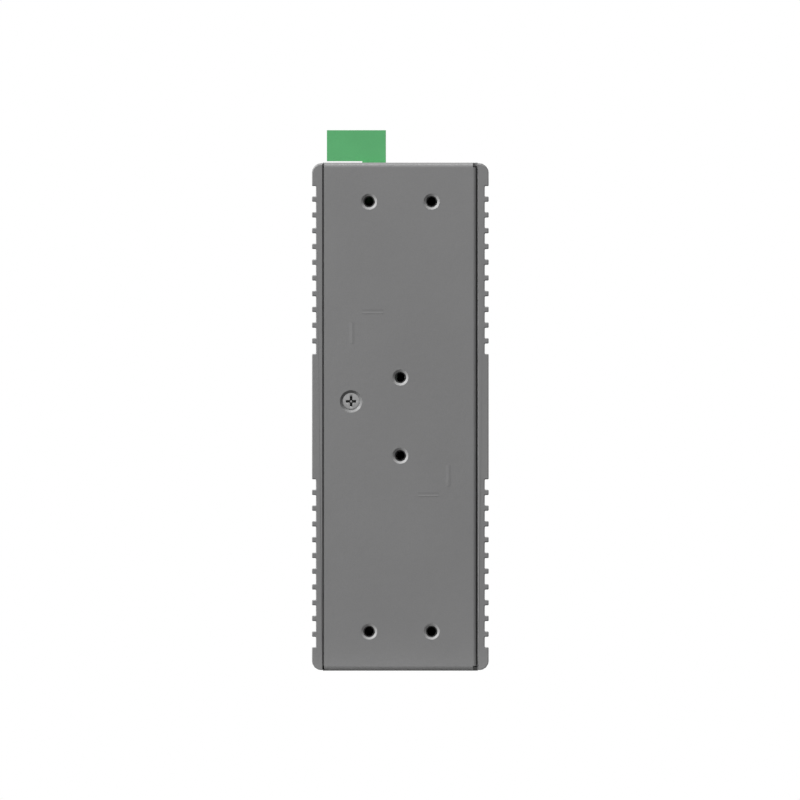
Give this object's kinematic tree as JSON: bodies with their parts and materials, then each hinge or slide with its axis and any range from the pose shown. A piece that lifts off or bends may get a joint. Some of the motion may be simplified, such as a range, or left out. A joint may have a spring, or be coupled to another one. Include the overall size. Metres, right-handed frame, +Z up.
{
  "type": "din rail ethernet switch",
  "caption": "Slim upright industrial network switch with finned side covers, tapped rear fixing holes and a pluggable terminal block on top.",
  "frame": {"origin": "centre of the base under the whole switch, ports to the front and fixing wall to the rear", "axes": "+Z up, the height of the case; +Y towards the fixing wall at the rear; +X across the width, towards the removable finned cover"},
  "size_m": [0.0452, 0.1, 0.1383],
  "materials": {
    "painted_steel": "satin powder coat, mid grey",
    "painted_aluminium": "satin powder coat on aluminium, mid grey",
    "plated_steel": "zinc plate",
    "plated_screw": "nickel plate",
    "circuit_board": "solder mask",
    "nickel_brass": "nickel plate",
    "black_plastic": "moulded",
    "nickel_shield": "bright nickel",
    "clear_lens": "clear",
    "gold_contact": "gold flash",
    "lamp_lens": "diffuse lens",
    "chip_resin": "moulded",
    "bare_aluminium": "milled",
    "pad_silicone": "soft",
    "capacitor_sleeve": "shrink sleeve",
    "ferrite": "moulded ferrite",
    "relay_case": "moulded",
    "fuse_ceramic": "glazed",
    "green_plastic": "moulded, satin",
    "tinned_brass": "tin plate"
  },
  "bodies": {
    "case": {"alarm_relay": "relay_case", "board_link_base": "black_plastic", "board_link_pins": "gold_contact", "board_link_socket": "black_plastic", "board_screws": "plated_steel", "board_spacers": "nickel_brass", "board_standoffs": "plated_steel", "bracket_screws": "plated_steel", "chassis": "painted_steel", "cover_brackets": "plated_steel", "cover_screws": "plated_screw", "crystal_can": "nickel_shield", "finned_cover": "painted_aluminium", "finned_side_plate": "painted_aluminium", "front_panel": "painted_steel", "header_pins": "tinned_brass", "heat_block": "bare_aluminium", "indicator_leds": "lamp_lens", "input_fuses": "fuse_ceramic", "jack_contacts": "gold_contact", "jack_housing": "black_plastic", "jack_lamps": "clear_lens", "jack_shield": "nickel_shield", "led_holder": "black_plastic", "line_transformers": "chip_resin", "main_board": "circuit_board", "memory_chip": "chip_resin", "panel_screws": "plated_screw", "power_board": "circuit_board", "power_inductors": "ferrite", "regulator_chips": "chip_resin", "sfp_cage_1": "nickel_shield", "sfp_cage_2": "nickel_shield", "sfp_connectors": "black_plastic", "side_plate_screws": "plated_screw", "storage_capacitors": "capacitor_sleeve", "switch_chip": "chip_resin", "terminal_header": "green_plastic", "thermal_pad": "pad_silicone"},
    "plug": {"plug_housing": "green_plastic", "plug_contacts": "tinned_brass"},
    "screw_1": {"clamp_screw_1": "plated_screw"},
    "cage_1": {"clamp_cage_1": "nickel_brass"},
    "screw_2": {"clamp_screw_2": "plated_screw"},
    "cage_2": {"clamp_cage_2": "nickel_brass"},
    "screw_3": {"clamp_screw_3": "plated_screw"},
    "cage_3": {"clamp_cage_3": "nickel_brass"},
    "screw_4": {"clamp_screw_4": "plated_screw"},
    "cage_4": {"clamp_cage_4": "nickel_brass"},
    "screw_5": {"clamp_screw_5": "plated_screw"},
    "cage_5": {"clamp_cage_5": "nickel_brass"},
    "screw_6": {"clamp_screw_6": "plated_screw"},
    "cage_6": {"clamp_cage_6": "nickel_brass"}
  },
  "joints": [
    {"name": "plug_pull", "type": "slide", "parent": "case", "child": "plug", "axis": [0, 0, 1], "range_m": [0, 0.012]},
    {"name": "clamp_turn_1", "type": "hinge", "parent": "plug", "child": "screw_1", "pos_m": [0.017, 0.0043, 0.13423], "axis": [-1, 0, 0], "range_deg": [0, 1600.5]},
    {"name": "cage_rise_1", "type": "slide", "parent": "plug", "child": "cage_1", "axis": [1, 0, 0], "range_m": [0, 0.002]},
    {"name": "clamp_turn_2", "type": "hinge", "parent": "plug", "child": "screw_2", "pos_m": [0.017, 0.00938, 0.13423], "axis": [-1, 0, 0], "range_deg": [0, 1600.5]},
    {"name": "cage_rise_2", "type": "slide", "parent": "plug", "child": "cage_2", "axis": [1, 0, 0], "range_m": [0, 0.002]},
    {"name": "clamp_turn_3", "type": "hinge", "parent": "plug", "child": "screw_3", "pos_m": [0.017, 0.01446, 0.13423], "axis": [-1, 0, 0], "range_deg": [0, 1600.5]},
    {"name": "cage_rise_3", "type": "slide", "parent": "plug", "child": "cage_3", "axis": [1, 0, 0], "range_m": [0, 0.002]},
    {"name": "clamp_turn_4", "type": "hinge", "parent": "plug", "child": "screw_4", "pos_m": [0.017, 0.01954, 0.13423], "axis": [-1, 0, 0], "range_deg": [0, 1600.5]},
    {"name": "cage_rise_4", "type": "slide", "parent": "plug", "child": "cage_4", "axis": [1, 0, 0], "range_m": [0, 0.002]},
    {"name": "clamp_turn_5", "type": "hinge", "parent": "plug", "child": "screw_5", "pos_m": [0.017, 0.02462, 0.13423], "axis": [-1, 0, 0], "range_deg": [0, 1600.5]},
    {"name": "cage_rise_5", "type": "slide", "parent": "plug", "child": "cage_5", "axis": [1, 0, 0], "range_m": [0, 0.002]},
    {"name": "clamp_turn_6", "type": "hinge", "parent": "plug", "child": "screw_6", "pos_m": [0.017, 0.0297, 0.13423], "axis": [-1, 0, 0], "range_deg": [0, 1600.5]},
    {"name": "cage_rise_6", "type": "slide", "parent": "plug", "child": "cage_6", "axis": [1, 0, 0], "range_m": [0, 0.002]}
  ],
  "couplings": [
    {"joint": "clamp_turn_1", "follows": "cage_rise_1", "rad_per_m": 13963},
    {"joint": "clamp_turn_2", "follows": "cage_rise_2", "rad_per_m": 13963},
    {"joint": "clamp_turn_3", "follows": "cage_rise_3", "rad_per_m": 13963},
    {"joint": "clamp_turn_4", "follows": "cage_rise_4", "rad_per_m": 13963},
    {"joint": "clamp_turn_5", "follows": "cage_rise_5", "rad_per_m": 13963},
    {"joint": "clamp_turn_6", "follows": "cage_rise_6", "rad_per_m": 13963}
  ]
}
